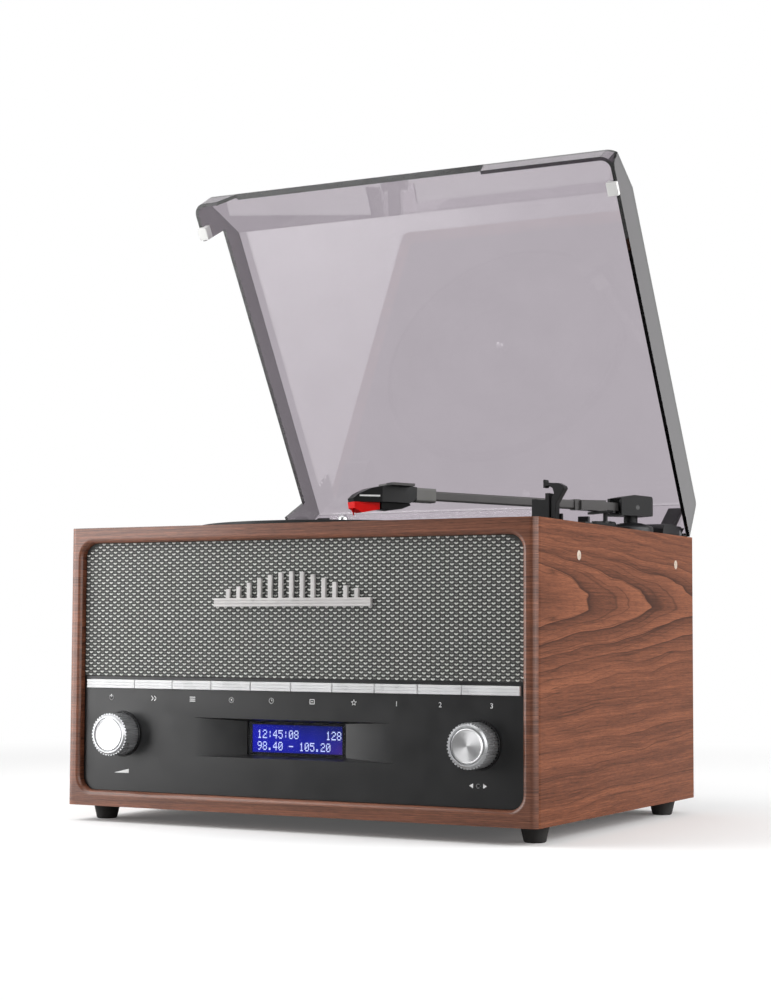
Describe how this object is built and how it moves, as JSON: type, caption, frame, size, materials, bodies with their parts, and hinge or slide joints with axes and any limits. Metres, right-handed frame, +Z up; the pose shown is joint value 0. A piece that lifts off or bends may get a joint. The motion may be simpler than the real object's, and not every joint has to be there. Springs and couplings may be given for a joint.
{
  "type": "stereo music centre",
  "caption": "Wooden-cased tabletop stereo with a record deck, tonearm and tinted lid on top, and a radio panel with knobs, buttons and display.",
  "frame": {"origin": "on the surface under the feet, at the middle of the outline in width and depth with the lid open", "axes": "+Z up, +X to the right seen from the front, +Y towards the back; the knobs face -Y"},
  "size_m": [0.3262, 0.3084, 0.4272],
  "materials": {
    "walnut_veneer": "satin",
    "baffle_board": "raw",
    "grey_panel": "satin",
    "black_plastic": "satin",
    "deck_plastic": "fine texture",
    "arm_plastic": "satin",
    "silver_plastic": "silver paint, satin",
    "spun_metal": "spun, concentric brushing",
    "chrome_trim": "polished",
    "grille_fabric": "woven silver and black",
    "clear_plastic": "clear, lightly tinted",
    "rubber_black": "matt",
    "white_bumper": "matt",
    "steel": "plain",
    "platter_paint": "satin",
    "brass": "turned",
    "circuit_board": "lacquered",
    "display_glass": "gloss",
    "display_blue": "lit",
    "stylus_red": "gloss",
    "cone_paper": "pressed paper",
    "ferrite": "ceramic"
  },
  "bodies": {
    "cabinet": {"case_shell": "walnut_veneer", "rear_panel": "black_plastic", "case_screws": "steel", "side_screws": "steel", "feet": "rubber_black", "top_deck": "deck_plastic", "front_panel": "grey_panel", "speaker_baffle": "baffle_board", "grille_cloth": "grille_fabric", "emblem_bar": "chrome_trim", "lcd_window": "display_glass", "lcd_module": "display_blue", "control_board": "circuit_board", "tact_switches": "black_plastic", "encoders": "steel", "speaker_baskets": "black_plastic", "speaker_cones": "cone_paper", "speaker_magnets": "ferrite", "main_board": "circuit_board", "rear_sockets": "steel", "power_inlet": "black_plastic", "motor": "steel", "drive_belt": "rubber_black", "spindle": "steel", "tonearm_base": "black_plastic", "arm_rest": "black_plastic", "hinge_brackets": "black_plastic", "hinge_pins": "steel"},
    "lid": {"lid_cover": "clear_plastic", "lid_bumpers": "white_bumper", "lid_hinges": "black_plastic"},
    "turntable": {"platter": "platter_paint", "platter_mat": "rubber_black"},
    "pulley": {"motor_pulley": "brass"},
    "arm_swing": {"arm_yoke": "arm_plastic", "arm_pin": "steel"},
    "arm": {"arm_tube": "arm_plastic", "headshell": "arm_plastic", "cartridge": "black_plastic", "stylus": "stylus_red"},
    "arm_clip": {"rest_clip": "arm_plastic"},
    "cue_lever": {"cue_lever": "arm_plastic"},
    "cue_lift": {"cue_lift": "arm_plastic"},
    "speed_slider": {"speed_switch": "black_plastic"},
    "volume": {"volume_knob": "silver_plastic", "volume_cap": "spun_metal"},
    "tune_carrier": {"tune_plunger": "black_plastic"},
    "tune": {"tune_knob": "silver_plastic", "tune_cap": "spun_metal"},
    "button_1": {"button_1": "silver_plastic"},
    "button_2": {"button_2": "silver_plastic"},
    "button_3": {"button_3": "silver_plastic"},
    "button_4": {"button_4": "silver_plastic"},
    "button_5": {"button_5": "silver_plastic"},
    "button_6": {"button_6": "silver_plastic"},
    "button_7": {"button_7": "silver_plastic"},
    "button_8": {"button_8": "silver_plastic"},
    "button_9": {"button_9": "silver_plastic"},
    "button_10": {"button_10": "silver_plastic"}
  },
  "joints": [
    {"name": "lid_hinge", "type": "hinge", "parent": "cabinet", "child": "lid", "pos_m": [0, 0.12414, 0.1885], "axis": [1, 0, 0], "range_deg": [0, 58.9]},
    {"name": "platter_turn", "type": "hinge", "parent": "cabinet", "child": "turntable", "pos_m": [-0.0385, -0.00886, 0.185], "axis": [0, 0, 1], "continuous": true},
    {"name": "pulley_turn", "type": "hinge", "parent": "cabinet", "child": "pulley", "pos_m": [-0.10403, -0.05475, 0.18], "axis": [0, 0, 1], "continuous": true},
    {"name": "arm_swing", "type": "hinge", "parent": "cabinet", "child": "arm_swing", "pos_m": [0.136, 0.07114, 0.203], "axis": [0, 0, 1], "range_deg": [-13, 30.7]},
    {"name": "arm_lift", "type": "hinge", "parent": "arm_swing", "child": "arm", "pos_m": [0.136, 0.07114, 0.203], "axis": [0.7997, -0.6004, 0], "range_deg": [-3.5, 0]},
    {"name": "cue_lift_rise", "type": "slide", "parent": "cabinet", "child": "cue_lift", "axis": [0, 0, 1], "range_m": [0, 0.00166]},
    {"name": "cue_lever_turn", "type": "hinge", "parent": "cabinet", "child": "cue_lever", "pos_m": [0.1288, 0.04408, 0.19], "axis": [-0.9664, 0.2571, 0], "range_deg": [0, 30]},
    {"name": "rest_clip_open", "type": "hinge", "parent": "cabinet", "child": "arm_clip", "pos_m": [0.13176, -0.04478, 0.189], "axis": [0.108, 0.9942, 0], "range_deg": [0, 55]},
    {"name": "speed_select", "type": "slide", "parent": "cabinet", "child": "speed_slider", "axis": [0, 1, 0], "range_m": [0, 0.008]},
    {"name": "volume_turn", "type": "hinge", "parent": "cabinet", "child": "volume", "pos_m": [-0.124, -0.14386, 0.0553], "axis": [0, -1, 0], "continuous": true},
    {"name": "tune_press", "type": "slide", "parent": "cabinet", "child": "tune_carrier", "axis": [0, 1, 0], "range_m": [0, 0.0006], "stiffness_N_per_m": 800},
    {"name": "tune_turn", "type": "hinge", "parent": "tune_carrier", "child": "tune", "pos_m": [0.124, -0.14386, 0.0553], "axis": [0, -1, 0], "continuous": true},
    {"name": "button_1_press", "type": "slide", "parent": "cabinet", "child": "button_1", "axis": [0, 1, 0], "range_m": [0, 0.0012], "stiffness_N_per_m": 400},
    {"name": "button_2_press", "type": "slide", "parent": "cabinet", "child": "button_2", "axis": [0, 1, 0], "range_m": [0, 0.0012], "stiffness_N_per_m": 400},
    {"name": "button_3_press", "type": "slide", "parent": "cabinet", "child": "button_3", "axis": [0, 1, 0], "range_m": [0, 0.0012], "stiffness_N_per_m": 400},
    {"name": "button_4_press", "type": "slide", "parent": "cabinet", "child": "button_4", "axis": [0, 1, 0], "range_m": [0, 0.0012], "stiffness_N_per_m": 400},
    {"name": "button_5_press", "type": "slide", "parent": "cabinet", "child": "button_5", "axis": [0, 1, 0], "range_m": [0, 0.0012], "stiffness_N_per_m": 400},
    {"name": "button_6_press", "type": "slide", "parent": "cabinet", "child": "button_6", "axis": [0, 1, 0], "range_m": [0, 0.0012], "stiffness_N_per_m": 400},
    {"name": "button_7_press", "type": "slide", "parent": "cabinet", "child": "button_7", "axis": [0, 1, 0], "range_m": [0, 0.0012], "stiffness_N_per_m": 400},
    {"name": "button_8_press", "type": "slide", "parent": "cabinet", "child": "button_8", "axis": [0, 1, 0], "range_m": [0, 0.0012], "stiffness_N_per_m": 400},
    {"name": "button_9_press", "type": "slide", "parent": "cabinet", "child": "button_9", "axis": [0, 1, 0], "range_m": [0, 0.0012], "stiffness_N_per_m": 400},
    {"name": "button_10_press", "type": "slide", "parent": "cabinet", "child": "button_10", "axis": [0, 1, 0], "range_m": [0, 0.0012], "stiffness_N_per_m": 400}
  ],
  "couplings": [
    {"joint": "pulley_turn", "follows": "platter_turn", "ratio": 10},
    {"joint": "cue_lift_rise", "follows": "arm_lift", "m_per_rad": -0.027},
    {"joint": "cue_lever_turn", "follows": "arm_lift", "ratio": -8.55}
  ]
}
